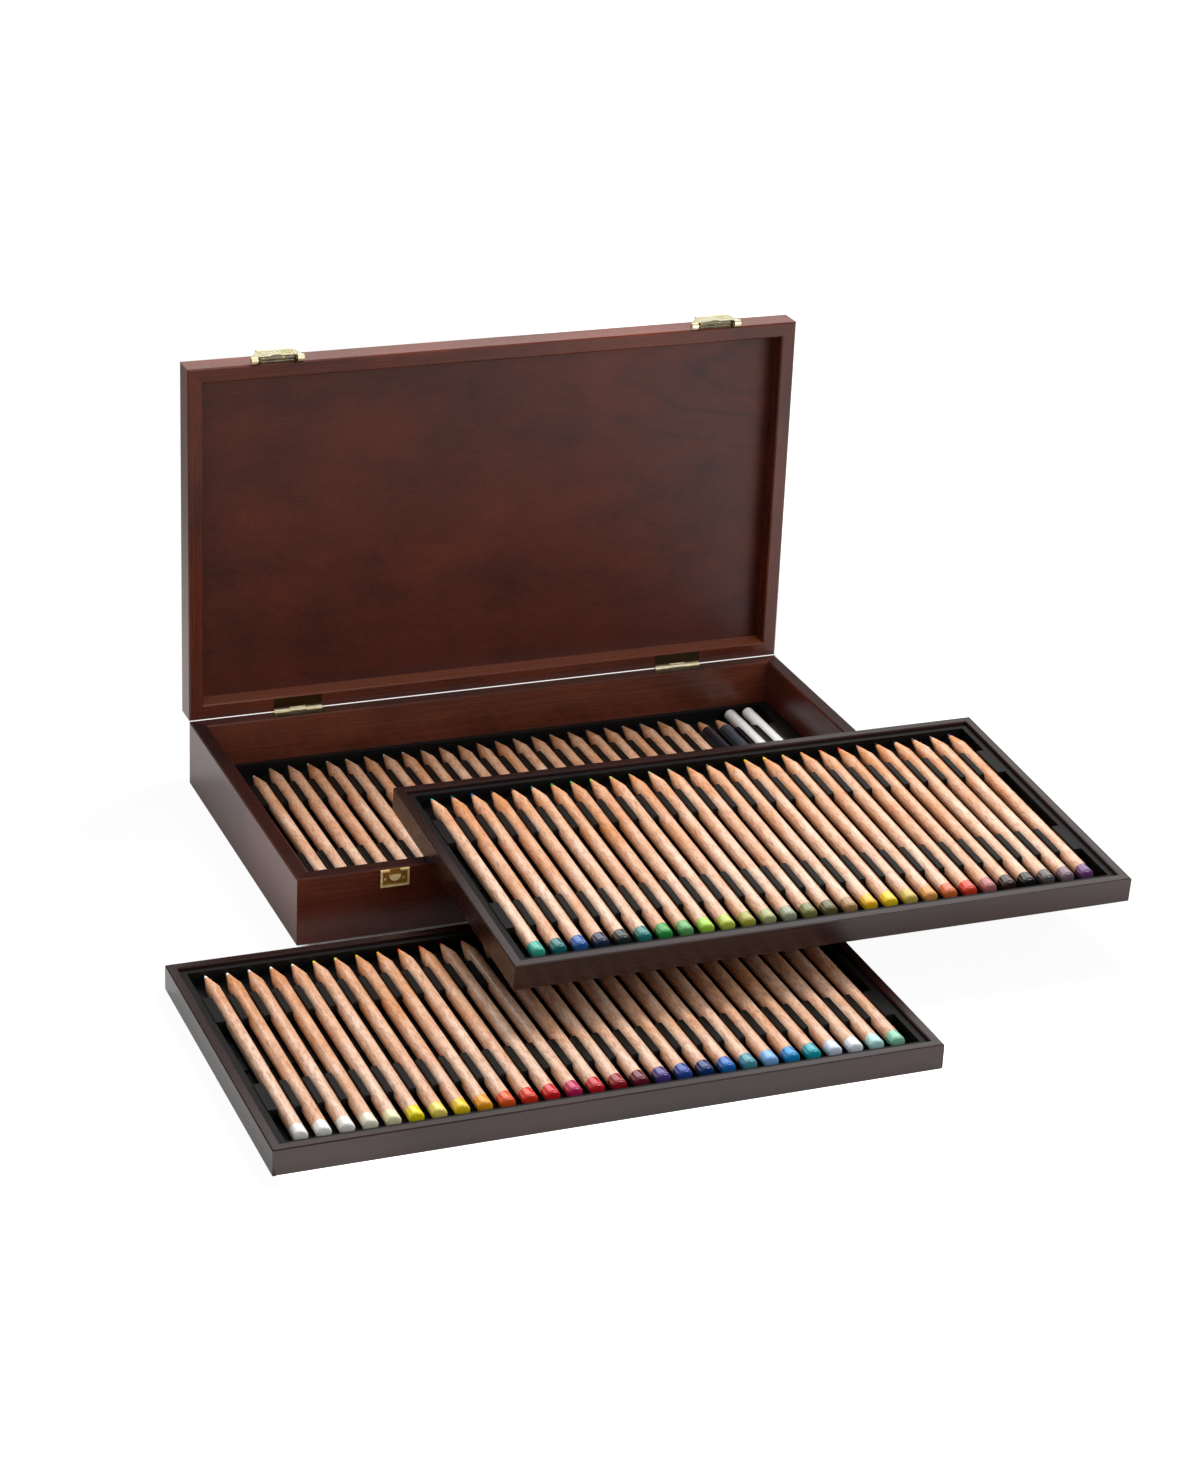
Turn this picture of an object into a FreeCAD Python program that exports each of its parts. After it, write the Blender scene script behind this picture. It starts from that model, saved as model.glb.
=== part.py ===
import FreeCAD, Part
import math
import os

import Sketcher

# Artists' pencil case in stained wood: a shallow box with a hinged lid standing open, two lift-out
# trays, and a row of pencils in a moulded insert in the box and in each tray.
# Frame: origin at the centre of the box's footprint on the table, +X to the right along the front,
# +Y to the back, +Z up. Lengths are millimetres, angles are degrees.

doc = FreeCAD.newDocument("PencilCase")
sheet = doc.addObject("Spreadsheet::Sheet", "Sizes")

SIZES = {
    # Box and lid
    "CaseWall": 9.0,
    "CaseRebate": 4.0,
    "CaseEase": 0.8,
    "BaseHeight": 41.0,
    "BottomThickness": 4.8,
    "LidHeight": 17.0,
    "LidPanelThickness": 4.0,
    "LidGap": 0.4,
    "LidOpening": 90.6,
    "PanelFit": 0.1,
    # Hinges
    "HingeLength": 30.0,
    "HingeInset": 67.8,
    "LeafWidth": 8.0,
    "LeafThickness": 0.9,
    "BarrelRadius": 1.5,
    "BarrelNotch": 1.8,
    "HingePinRadius": 0.75,
    "PinClearance": 0.05,
    "KnuckleGap": 0.2,
    "HingeFit": 0.1,
    # Clasps on the lid and their catch plates on the box
    "ClaspInset": 54.0,
    "ClaspWidth": 32.0,
    "ClaspTipWidth": 22.0,
    "LeverLength": 8.4,
    "LeverThickness": 0.9,
    "LeverOpening": 150.0,
    "LeverPivotOut": 2.3,
    "LeverPivotUp": 0.2,
    "LeverKnuckleRadius": 2.1,
    "LeverKnuckleLength": 4.0,
    "LeverPinRadius": 0.6,
    "WindowWidth": 18.0,
    "WindowDepth": 3.2,
    "TipCurlRadius": 1.6,
    "ClaspPlateWidth": 23.6,
    "ClaspPlateHeight": 10.0,
    "PlateSetUp": 0.8,
    "ClaspPlateThickness": 0.8,
    "EarThickness": 1.2,
    "CatchInset": 56.0,
    "CatchWidth": 16.7,
    "CatchHeight": 10.3,
    "CatchThickness": 0.6,
    "CatchDrop": 0.7,
    "CatchBorder": 1.1,
    "CatchRise": 1.1,
    "CatchNotch": 6.4,
    "CatchBossRadius": 3.4,
    # Trays
    "TrayFit": 1.0,
    "TrayHeight": 15.0,
    "TrayWall": 5.5,
    "TrayRebate": 2.5,
    "TrayEase": 0.6,
    "TraySetUp": 1.8,
    "TrayPanelThickness": 2.2,
    "UpperTrayAcross": 65.0,
    "UpperTrayPast": 39.0,
    "UpperTrayTilt": 3.62,
    "UpperTrayRest": 0.3,
    "LowerTrayAcross": 91.9,
    "LowerTrayAway": 27.5,
    # Moulded inserts
    "InsertHeight": 9.0,
    "InsertFit": 0.25,
    "InsertSkin": 1.0,
    "InsertFlange": 3.75,
    "SeatFloor": 2.15,
    "RidgeOffset": 47.0,
    "RidgeLength": 27.0,
    "RidgeRise": 3.2,
    "LowRidgeLength": 13.0,
    "SeatClearance": 0.25,
    "SeatDraft": 3.0,
    "BaseWellAcross": 4.0,
    # Pencils
    "PencilRadius": 4.1,
    "PencilLength": 175.0,
    "PencilPitch": 12.1,
    "PencilCount": 28,
    "StickCount": 2,
    "RowMargin": 9.65,
    "ConeLength": 17.0,
    "TipRadius": 0.5,
    "DomeLength": 1.0,
    "DomeShare": 0.75,
    "FootRoom": 5.0,
    "TrayTipGap": 1.0,
    "BaseTipGap": 2.5,
    "WornPencil": 7.5,
    "DarkPencilShort": 6.5,
    "StickShort": 2.0,
}

# The case is made round its pencils: well, then tray, then box, and the fittings follow their walls
FOLLOWING = {
    "PencilAxisUp": "SeatFloor + SeatClearance + PencilRadius",
    "WellWidth": "(PencilCount - 1) * PencilPitch + 2 * RowMargin",
    "WellDepth": "FootRoom + PencilLength + TrayTipGap",
    "TrayWidth": "WellWidth + 2 * (InsertFlange + InsertFit + TrayWall)",
    "TrayDepth": "WellDepth + 2 * (InsertFlange + InsertFit + TrayWall)",
    "CaseWidth": "TrayWidth + 2 * (TrayFit + CaseWall)",
    "CaseDepth": "TrayDepth + 2 * (TrayFit + CaseWall)",
    "BaseWellBack": "(CaseDepth - WellDepth) / 2 - CaseWall - InsertFit - InsertFlange",
    "HingeOffset": "CaseWidth / 2 - HingeInset",
    "ClaspOffset": "CaseWidth / 2 - ClaspInset",
    "CatchOffset": "CaseWidth / 2 - CatchInset",
    "UpperTrayAhead": "CaseDepth / 2 + UpperTrayPast",
    "LowerTrayAhead": "CaseDepth / 2 + LowerTrayAway + TrayDepth / 2",
}

LINES = list(SIZES.items()) + [(alias, f"={formula}") for alias, formula in FOLLOWING.items()]
for line, (alias, value) in enumerate(LINES, start=1):
    sheet.set(f"A{line}", alias)
    sheet.set(f"B{line}", str(value))
    sheet.setAlias(f"B{line}", alias)
doc.recompute()


def read(expression):
    """The number that an expression on the sheet comes to."""
    return float(sheet.evalExpression(expression))


def size(alias):
    return read(f"Sizes.{alias}")


def plane(body, role):
    return next(part for part in body.Origin.OriginFeatures if part.Role == role)


def new_body(name):
    return doc.addObject("PartDesign::Body", name)


def outline(body, name, role, loops, lift="0"):
    """A sketch of closed polygons, every corner held to its pair of sheet expressions."""
    sketch = body.newObject("Sketcher::SketchObject", name)
    sketch.AttachmentSupport = [(plane(body, role), "")]
    sketch.MapMode = "FlatFace"
    sketch.setExpression("AttachmentOffset.Base.z", lift)
    for corners in loops:
        first = sketch.GeometryCount
        count = len(corners)
        points = [FreeCAD.Vector(read(across), read(up), 0) for across, up in corners]
        for here in range(count):
            sketch.addGeometry(Part.LineSegment(points[here], points[(here + 1) % count]))
        for here in range(count):
            line = first + here
            after = first + (here + 1) % count
            sketch.addConstraint(Sketcher.Constraint("Coincident", line, 2, after, 1))
            for kind, place in (("DistanceX", 0), ("DistanceY", 1)):
                held = Sketcher.Constraint(kind, -1, 1, line, 1, points[here][place])
                index = sketch.addConstraint(held)
                sketch.setExpression(f"Constraints[{index}]", corners[here][place])
    return sketch


def rectangle(left, right, low, high):
    return [(left, low), (right, low), (right, high), (left, high)]


def pad(body, name, sketch, length, symmetric=False, backward=False):
    feature = body.newObject("PartDesign::Pad", name)
    feature.Profile = sketch
    feature.setExpression("Length", length)
    feature.Midplane = symmetric
    feature.Reversed = backward
    doc.recompute()
    return feature


def pocket(body, name, sketch, length, upward=False, symmetric=False):
    """A pocket that must take material away: down from its sketch, up, or to both sides of it."""
    before = body.Tip.Shape.Volume
    feature = body.newObject("PartDesign::Pocket", name)
    feature.Profile = sketch
    feature.setExpression("Length", length)
    feature.Reversed = upward
    feature.Midplane = symmetric
    doc.recompute()
    if not feature.Shape.Volume < before:
        raise RuntimeError(f"{body.Name}.{name} cuts nothing")
    return feature


def put(solid, corner):
    for axis, place in zip("xyz", corner):
        solid.setExpression(f"Placement.Base.{axis}", place)


def block(name, lengths, corner=()):
    """A box whose lengths and lowest corner are sheet expressions."""
    solid = doc.addObject("Part::Box", name)
    for side, length in zip(("Length", "Width", "Height"), lengths):
        solid.setExpression(side, length)
    put(solid, corner)
    return solid


# Small rounds and pencils have flat sides, enough of them to look round
ROUND_SIDES = 12

# Turns that lay a rod, which is made along +Z, along another axis
ALONG_X = FreeCAD.Rotation(FreeCAD.Vector(0, 1, 0), 90)
ALONG_MINUS_Y = FreeCAD.Rotation(FreeCAD.Vector(1, 0, 0), 90)


def rod(name, radius, length, start, turn=ALONG_X):
    """A many-sided rod that begins at start; its radius, length and place are expressions."""
    solid = doc.addObject("Part::Prism", name)
    solid.Polygon = ROUND_SIDES
    solid.setExpression("Circumradius", radius)
    solid.setExpression("Height", length)
    solid.Placement.Rotation = turn
    put(solid, start)
    return solid


def fuse(name, solids):
    whole = doc.addObject("Part::MultiFuse", name)
    whole.Shapes = solids
    return whole


def cut(name, base, tool):
    rest = doc.addObject("Part::Cut", name)
    rest.Base = base
    rest.Tool = tool
    return rest


def common(name, solids):
    shared = doc.addObject("Part::MultiCommon", name)
    shared.Shapes = solids
    return shared


NODES = {}


def keep(node, solid, placement):
    """Name a finished sub-part and put it in its place in the row's frame."""
    solid.Label = node
    solid.Placement = placement
    NODES[node] = solid


def shift(x, y, z):
    return FreeCAD.Placement(FreeCAD.Vector(x, y, z), FreeCAD.Rotation())


def turned(axis, degrees):
    return FreeCAD.Placement(FreeCAD.Vector(0, 0, 0), FreeCAD.Rotation(axis, degrees))


X_AXIS = FreeCAD.Vector(1, 0, 0)
Y_AXIS = FreeCAD.Vector(0, 1, 0)
Z_AXIS = FreeCAD.Vector(0, 0, 1)

# Where each assembly stands. The lid is modelled closed, from its rim up, and swings back about the
# hinge axis. The upper tray leans on the box's front rim, and the lower tray stands on the table.
BASE_FRAME = FreeCAD.Placement()
HINGE_AXIS = shift(
    0,
    size("CaseDepth") / 2 + size("LidGap") / 2,
    size("BaseHeight") + size("LidGap") / 2,
)
LID_SWING = HINGE_AXIS * turned(X_AXIS, -size("LidOpening")) * HINGE_AXIS.inverse()
LID_FRAME = LID_SWING * shift(0, 0, size("BaseHeight") + size("LidGap"))
LOWER_TRAY_FRAME = shift(-size("LowerTrayAcross"), -size("LowerTrayAhead"), 0)

TILT = math.radians(size("UpperTrayTilt"))
RIM_TO_TRAY_CENTRE = size("UpperTrayAhead") - size("CaseDepth") / 2
UPPER_TRAY_BOTTOM = (
    size("BaseHeight")
    + size("UpperTrayRest") / math.cos(TILT)
    - RIM_TO_TRAY_CENTRE * math.tan(TILT)
)
UPPER_TRAY_FRAME = shift(
    size("UpperTrayAcross"), -size("UpperTrayAhead"), UPPER_TRAY_BOTTOM
) * turned(X_AXIS, size("UpperTrayTilt"))


# Wooden frames: four rails with mitred ends, each cut with a rebate that holds a thin panel
CLOSE = 0.001 * size("CaseEase")


def ease_edges(body, ease, spots):
    """Plane off the edges that run along X through the given places in the rail's section."""
    wanted = [(read(inward), read(up)) for inward, up in spots]
    base = body.Tip
    names = []
    for number, edge in enumerate(base.Shape.Edges, start=1):
        start, end = (vertex.Point for vertex in edge.Vertexes)
        level = math.dist((start.y, start.z), (end.y, end.z)) < CLOSE
        if level and any(math.dist((start.y, start.z), spot) < CLOSE for spot in wanted):
            names.append(f"Edge{number}")
    chamfer = body.newObject("PartDesign::Chamfer", "EasedEdges")
    chamfer.Base = (base, names)
    chamfer.setExpression("Size", ease)
    doc.recompute()


def rail(name, length, height, wall, rebate, panel_edge, ease, rebate_at_foot, hinged=False):
    """A rail lying along X with its outer face at y = 0 and its foot at z = 0. The hinged edge of
    a rail stays sharp, so that the joint between box and lid closes up when the lid is open."""
    body = new_body(name)
    shoulder = f"{wall} - {rebate}"
    if rebate_at_foot:
        section = [
            ("0", "0"), (shoulder, "0"), (shoulder, panel_edge),
            (wall, panel_edge), (wall, height), ("0", height),
        ]
        eased = [("0", "0"), (wall, height)]
        hinge_edge = ("0", height)
    else:
        section = [
            ("0", "0"), (wall, "0"), (wall, panel_edge),
            (shoulder, panel_edge), (shoulder, height), ("0", height),
        ]
        eased = [("0", height), (wall, "0")]
        hinge_edge = ("0", "0")
    pad(body, "Rail", outline(body, "Section", "YZ_Plane", [section]), length, symmetric=True)
    if not hinged:
        eased.append(hinge_edge)
    ease_edges(body, ease, eased)
    end = f"{length} / 2"
    corners = [
        [(f"-{end}", "0"), (f"{wall} - {end}", wall), (f"-{end}", wall)],
        [(end, "0"), (end, wall), (f"{end} - {wall}", wall)],
    ]
    mitres = outline(body, "MitreLines", "XY_Plane", corners)
    pocket(body, "Mitres", mitres, height, upward=True)
    return body


def mortise_hinges(body, rim, upward):
    """Let both hinges into the rim: a shallow seat for the leaf and a notch for the barrel."""
    for name, depth_in, depth_down in (
        ("LeafSeat", "Sizes.LeafWidth + Sizes.HingeFit", "Sizes.LeafThickness"),
        ("BarrelSeat", "Sizes.BarrelNotch", "Sizes.BarrelNotch"),
    ):
        seats = []
        for side in ("-", ""):
            middle = f"{side}Sizes.HingeOffset"
            half = "(Sizes.HingeLength / 2 + Sizes.HingeFit)"
            seats.append(rectangle(f"{middle} - {half}", f"{middle} + {half}", "0", depth_in))
        lines = outline(body, f"{name}Lines", "XY_Plane", seats, lift=rim)
        pocket(body, name, lines, depth_down, upward=upward)


def frame_of_rails(prefix, frame, width, depth, wall, make):
    """Four rails about a centre. The names say which side of the frame each one is."""
    sides = (
        ("front", width, depth, 0),
        ("back", width, depth, 180),
        ("left", depth, width, -90),
        ("right", depth, width, 90),
    )
    for side, length, across, turn in sides:
        node = f"{prefix}_{side}_{wall}"
        body = make(node, f"Sizes.{length}", side)
        place = turned(Z_AXIS, turn) * shift(0, -size(across) / 2, 0)
        keep(node, body, frame * place)


def panel(node, frame, width, depth, wall, rebate, low, thickness):
    """A thin panel that lies in the rebates of its four rails, with a hair of room at its edges."""
    lengths = [
        f"Sizes.{side} - 2 * (Sizes.{wall} - Sizes.{rebate} + Sizes.PanelFit)"
        for side in (width, depth)
    ]
    solid = block(node, (*lengths, f"Sizes.{thickness}"))
    keep(node, solid, frame * shift(-read(lengths[0]) / 2, -read(lengths[1]) / 2, read(low)))


BASE_FLOOR = "Sizes.BottomThickness"
LID_CEILING = "(Sizes.LidHeight - Sizes.LidPanelThickness)"
TRAY_FLOOR = "(Sizes.TraySetUp + Sizes.TrayPanelThickness)"


def base_rail(node, length, side):
    body = rail(
        node, length, "Sizes.BaseHeight", "Sizes.CaseWall", "Sizes.CaseRebate",
        BASE_FLOOR, "Sizes.CaseEase", rebate_at_foot=True, hinged=side == "back",
    )
    if side == "back":
        mortise_hinges(body, "Sizes.BaseHeight", upward=False)
    return body


def lid_rail(node, length, side):
    body = rail(
        node, length, "Sizes.LidHeight", "Sizes.CaseWall", "Sizes.CaseRebate",
        LID_CEILING, "Sizes.CaseEase", rebate_at_foot=False, hinged=side == "back",
    )
    if side == "back":
        mortise_hinges(body, "0", upward=True)
    return body


def tray_rail(node, length, side):
    return rail(
        node, length, "Sizes.TrayHeight", "Sizes.TrayWall", "Sizes.TrayRebate",
        TRAY_FLOOR, "Sizes.TrayEase", rebate_at_foot=True,
    )


frame_of_rails("base", BASE_FRAME, "CaseWidth", "CaseDepth", "wall", base_rail)
panel(
    "base_bottom_panel", BASE_FRAME, "CaseWidth", "CaseDepth", "CaseWall", "CaseRebate",
    "0", "BottomThickness",
)
frame_of_rails("lid", LID_FRAME, "CaseWidth", "CaseDepth", "wall", lid_rail)
panel(
    "lid_panel", LID_FRAME, "CaseWidth", "CaseDepth", "CaseWall", "CaseRebate",
    LID_CEILING, "LidPanelThickness",
)


# Butt hinges: a leaf let into each rim, three knuckles and a pin on the back edge
KNUCKLE = "((Sizes.HingeLength - 2 * Sizes.KnuckleGap) / 3)"
HINGE_END = "Sizes.HingeLength / 2"
LEAF_TOP = "Sizes.LidGap / 2"


def hinge_leaf(node, knuckle_starts):
    """A leaf about the hinge axis, lying towards -Y just under the joint."""
    low = f"-{LEAF_TOP} - Sizes.LeafThickness"
    plate_far = f"-{LEAF_TOP} - Sizes.LeafWidth"
    plate_near = f"-{LEAF_TOP} - Sizes.BarrelNotch"
    plate = block(
        f"{node}_plate",
        ("Sizes.HingeLength", f"{plate_near} - ({plate_far})", "Sizes.LeafThickness"),
        (f"-{HINGE_END}", plate_far, low),
    )
    pieces = [plate]
    for number, start in enumerate(knuckle_starts):
        pieces.append(block(
            f"{node}_strap{number}",
            (KNUCKLE, f"-({plate_near})", "Sizes.LeafThickness"),
            (start, plate_near, low),
        ))
        pieces.append(rod(
            f"{node}_knuckle{number}", "Sizes.BarrelRadius", KNUCKLE, (start, "0", "0"),
        ))
    bore = rod(
        f"{node}_bore", "Sizes.HingePinRadius + Sizes.PinClearance", "Sizes.HingeLength",
        (f"-{HINGE_END}", "0", "0"),
    )
    return cut(node, fuse(f"{node}_blank", pieces), bore)


OUTER_KNUCKLES = [f"-{HINGE_END}", f"{HINGE_END} - {KNUCKLE}"]
MIDDLE_KNUCKLE = [f"-{KNUCKLE} / 2"]

for side, sign in (("left", -1), ("right", 1)):
    spot = shift(sign * size("HingeOffset"), 0, 0) * HINGE_AXIS
    base_leaf = hinge_leaf(f"{side}_hinge_base_leaf", OUTER_KNUCKLES)
    keep(f"{side}_hinge_base_leaf", base_leaf, spot)
    # The lid's leaf is turned over to face the other one, and has swung open with the lid
    lid_leaf = hinge_leaf(f"{side}_hinge_lid_leaf", MIDDLE_KNUCKLE)
    swung = spot * turned(X_AXIS, -size("LidOpening")) * turned(Y_AXIS, 180)
    keep(f"{side}_hinge_lid_leaf", lid_leaf, swung)
    pin = rod(f"{side}_hinge_pin", "Sizes.HingePinRadius", "Sizes.HingeLength", ())
    keep(f"{side}_hinge_pin", pin, spot * shift(-size("HingeLength") / 2, 0, 0) * turned(Y_AXIS, 90))


# Clasps: a plate with two ears on the lid's front wall, and a windowed lever on a pin between them.
# Each is modelled about the lever's pivot, with the front wall behind it at +Y and the rim below it.
EAR_START = "Sizes.ClaspWidth / 2 - Sizes.LeverKnuckleLength - Sizes.KnuckleGap"
WALL_BEHIND = "Sizes.LeverPivotOut"


def clasp_plate(node):
    plate = block(
        f"{node}_plate",
        ("Sizes.ClaspPlateWidth", "Sizes.ClaspPlateThickness", "Sizes.ClaspPlateHeight"),
        ("-Sizes.ClaspPlateWidth / 2", f"{WALL_BEHIND} - Sizes.ClaspPlateThickness",
         "Sizes.PlateSetUp - Sizes.LeverPivotUp"),
    )
    pieces = [plate]
    for number, start in enumerate((f"-({EAR_START})", f"{EAR_START} - Sizes.EarThickness")):
        pieces.append(rod(
            f"{node}_ear{number}", "Sizes.LeverKnuckleRadius", "Sizes.EarThickness",
            (start, "0", "0"),
        ))
        pieces.append(block(
            f"{node}_web{number}",
            ("Sizes.EarThickness", WALL_BEHIND, "Sizes.LeverKnuckleRadius + Sizes.PlateSetUp"),
            (start, "0", "0"),
        ))
    bore = rod(
        f"{node}_bore", "Sizes.LeverPinRadius + Sizes.PinClearance", "Sizes.ClaspWidth",
        ("-Sizes.ClaspWidth / 2", "0", "0"),
    )
    return cut(node, fuse(f"{node}_blank", pieces), bore)


def clasp_lever(node):
    """A tapered plate hanging from its end knuckles, with an arched window and a curled tip."""
    body = new_body(f"{node}_sheet")
    half = "Sizes.ClaspWidth / 2"
    tip = "Sizes.ClaspTipWidth / 2"
    reach = "Sizes.LeverLength - Sizes.TipCurlRadius"
    blank = [
        (f"-{half}", "0"), (f"-{half}", "-Sizes.LeverKnuckleLength / 2"), (f"-({tip})", f"-({reach})"),
        (tip, f"-({reach})"), (half, "-Sizes.LeverKnuckleLength / 2"), (half, "0"),
    ]
    sheet_lines = outline(body, "Blank", "XZ_Plane", [blank], lift="-Sizes.LeverThickness / 2")
    pad(body, "Sheet", sheet_lines, "Sizes.LeverThickness")
    curl = rod(
        f"{node}_curl", "Sizes.TipCurlRadius + Sizes.LeverThickness / 2", "Sizes.ClaspTipWidth",
        (f"-({tip})", "-Sizes.TipCurlRadius", f"-({reach})"),
    )
    hollow = rod(
        f"{node}_hollow", "Sizes.TipCurlRadius - Sizes.LeverThickness / 2", "Sizes.ClaspTipWidth",
        (f"-({tip})", "-Sizes.TipCurlRadius", f"-({reach})"),
    )
    ring = cut(f"{node}_ring", curl, hollow)
    quarter = block(
        f"{node}_quarter",
        ("Sizes.ClaspTipWidth", "Sizes.TipCurlRadius + Sizes.LeverThickness",
         "Sizes.TipCurlRadius + Sizes.LeverThickness"),
        (f"-({tip})", "-Sizes.TipCurlRadius",
         f"-({reach}) - Sizes.TipCurlRadius - Sizes.LeverThickness"),
    )
    pieces = [body, common(f"{node}_lip", [ring, quarter])]
    for number, start in enumerate((f"-{half}", f"{half} - Sizes.LeverKnuckleLength")):
        pieces.append(rod(
            f"{node}_knuckle{number}", "Sizes.LeverKnuckleRadius", "Sizes.LeverKnuckleLength",
            (start, "0", "0"),
        ))
    window = doc.addObject("Part::Cylinder", f"{node}_window")
    window.setExpression("Radius", "Sizes.WindowWidth / 2")
    window.setExpression("Height", "2 * Sizes.LeverThickness")
    window.Placement = turned(X_AXIS, 90)
    put(window, ("0", "Sizes.LeverThickness", "Sizes.WindowWidth / 2 - Sizes.WindowDepth"))
    ear_room = block(
        f"{node}_ear_room",
        (f"2 * ({EAR_START}) + 2 * Sizes.KnuckleGap", "4 * Sizes.LeverKnuckleRadius",
         "2 * Sizes.LeverKnuckleRadius + 2 * Sizes.KnuckleGap"),
        (f"-({EAR_START}) - Sizes.KnuckleGap", "-2 * Sizes.LeverKnuckleRadius",
         "-Sizes.LeverKnuckleRadius - Sizes.KnuckleGap"),
    )
    bore = rod(
        f"{node}_bore", "Sizes.LeverPinRadius + Sizes.PinClearance", "Sizes.ClaspWidth",
        (f"-{half}", "0", "0"),
    )
    return cut(node, fuse(f"{node}_blank", pieces), fuse(f"{node}_cuts", [window, ear_room, bore]))


def catch_plate(node):
    """A plate with a raised border, open at the middle of its top edge, round a D-shaped boss."""
    thick = "Sizes.CatchThickness + Sizes.CatchRise"
    edge = "Sizes.CatchWidth / 2"
    block_of_brass = block(
        f"{node}_stock", ("Sizes.CatchWidth", thick, "Sizes.CatchHeight"),
        (f"-{edge}", f"-({thick})", "-Sizes.CatchHeight"),
    )
    floor = block(
        f"{node}_sunk",
        ("Sizes.CatchWidth - 2 * Sizes.CatchBorder", "Sizes.CatchRise",
         "Sizes.CatchHeight - 2 * Sizes.CatchBorder"),
        (f"-{edge} + Sizes.CatchBorder", f"-({thick})",
         "-Sizes.CatchHeight + Sizes.CatchBorder"),
    )
    notch = block(
        f"{node}_notch", ("Sizes.CatchNotch", "Sizes.CatchRise", "2 * Sizes.CatchBorder"),
        ("-Sizes.CatchNotch / 2", f"-({thick})", "-2 * Sizes.CatchBorder"),
    )
    dish = cut(f"{node}_dish", block_of_brass, fuse(f"{node}_hollows", [floor, notch]))
    boss = doc.addObject("Part::Cylinder", f"{node}_boss")
    boss.setExpression("Radius", "Sizes.CatchBossRadius")
    boss.setExpression("Height", thick)
    boss.Angle = 180
    boss.Placement = FreeCAD.Placement(FreeCAD.Vector(), ALONG_MINUS_Y) * turned(Z_AXIS, 180)
    put(boss, ("0", "0", "-(Sizes.CatchHeight - Sizes.CatchBossRadius) / 2"))
    return fuse(node, [dish, boss])


for side, sign in (("left", -1), ("right", 1)):
    pivot = LID_FRAME * shift(
        sign * size("ClaspOffset"),
        -size("CaseDepth") / 2 - size("LeverPivotOut"),
        size("LeverPivotUp"),
    )
    keep(f"{side}_clasp_plate", clasp_plate(f"{side}_clasp_plate"), pivot)
    lever = clasp_lever(f"{side}_clasp_lever")
    keep(f"{side}_clasp_lever", lever, pivot * turned(X_AXIS, -size("LeverOpening")))
    pin = rod(f"{side}_clasp_pin", "Sizes.LeverPinRadius", "Sizes.ClaspWidth", ())
    keep(f"{side}_clasp_pin", pin, pivot * shift(-size("ClaspWidth") / 2, 0, 0) * turned(Y_AXIS, 90))
    catch_spot = shift(
        sign * size("CatchOffset"), -size("CaseDepth") / 2, size("BaseHeight") - size("CatchDrop")
    )
    keep(f"{side}_catch_plate", catch_plate(f"{side}_catch_plate"), catch_spot)


# Moulded inserts: a sunk well between flanges, with two rows of teeth that grip the pencils and a
# low ridge that carries their middles. The origin is the well's centre, on the floor below.
def moulded_insert(node, left, right, front, back):
    """The four arguments are the insert's outer edges, measured from the well's centre."""
    body = new_body(node)
    footprint = rectangle(f"-({left})", right, f"-({front})", back)
    stock = outline(body, "StockLines", "XY_Plane", [footprint])
    pad(body, "Stock", stock, "Sizes.InsertHeight")
    half_width = "Sizes.WellWidth / 2"
    half_depth = "Sizes.WellDepth / 2"
    well = outline(
        body, "WellLines", "XY_Plane",
        [rectangle(f"-{half_width}", half_width, f"-{half_depth}", half_depth)],
        lift="Sizes.InsertHeight",
    )
    pocket(body, "Well", well, "Sizes.InsertHeight - Sizes.InsertSkin")
    tooth_top = "Sizes.PencilAxisUp + Sizes.RidgeRise"
    ridges = []
    for centre in ("-Sizes.RidgeOffset", "Sizes.RidgeOffset"):
        ridges.append(rectangle(
            f"-{half_width}", half_width,
            f"{centre} - Sizes.RidgeLength / 2", f"{centre} + Sizes.RidgeLength / 2",
        ))
    high = outline(body, "RidgeLines", "XY_Plane", ridges, lift="Sizes.InsertSkin")
    pad(body, "Ridges", high, f"{tooth_top} - Sizes.InsertSkin")
    middle = [rectangle(
        f"-{half_width}", half_width, "-Sizes.LowRidgeLength / 2", "Sizes.LowRidgeLength / 2",
    )]
    low = outline(body, "LowRidgeLines", "XY_Plane", middle, lift="Sizes.InsertSkin")
    pad(body, "LowRidge", low, "Sizes.SeatFloor - Sizes.InsertSkin")
    # Each seat is a drafted channel that clears the pencil by the same hair at its floor and sides
    seat = "(Sizes.PencilRadius + Sizes.SeatClearance)"
    lean = "Sizes.SeatDraft * 1 deg"
    foot = f"({seat} / cos({lean}) - {seat} * tan({lean}))"
    mouth = f"({seat} / cos({lean}) + (Sizes.RidgeRise + {seat}) * tan({lean}))"
    first = "-(Sizes.PencilCount - 1) / 2 * Sizes.PencilPitch"
    groove = [
        (f"{first} - {mouth}", f"{tooth_top} + {seat}"), (f"{first} - {foot}", "Sizes.SeatFloor"),
        (f"{first} + {foot}", "Sizes.SeatFloor"), (f"{first} + {mouth}", f"{tooth_top} + {seat}"),
    ]
    seats = outline(
        body, "SeatLines", "XZ_Plane", [groove], lift="Sizes.RidgeOffset + Sizes.RidgeLength / 2",
    )
    cutter = pocket(body, "Seat", seats, "2 * Sizes.RidgeOffset + Sizes.RidgeLength")
    pattern = body.newObject("PartDesign::LinearPattern", "Seats")
    pattern.Originals = [cutter]
    pattern.Direction = (plane(body, "YZ_Plane"), [""])
    pattern.setExpression("Occurrences", "Sizes.PencilCount")
    pattern.setExpression("Length", "(Sizes.PencilCount - 1) * Sizes.PencilPitch")
    body.Tip = pattern
    doc.recompute()
    return body


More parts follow.
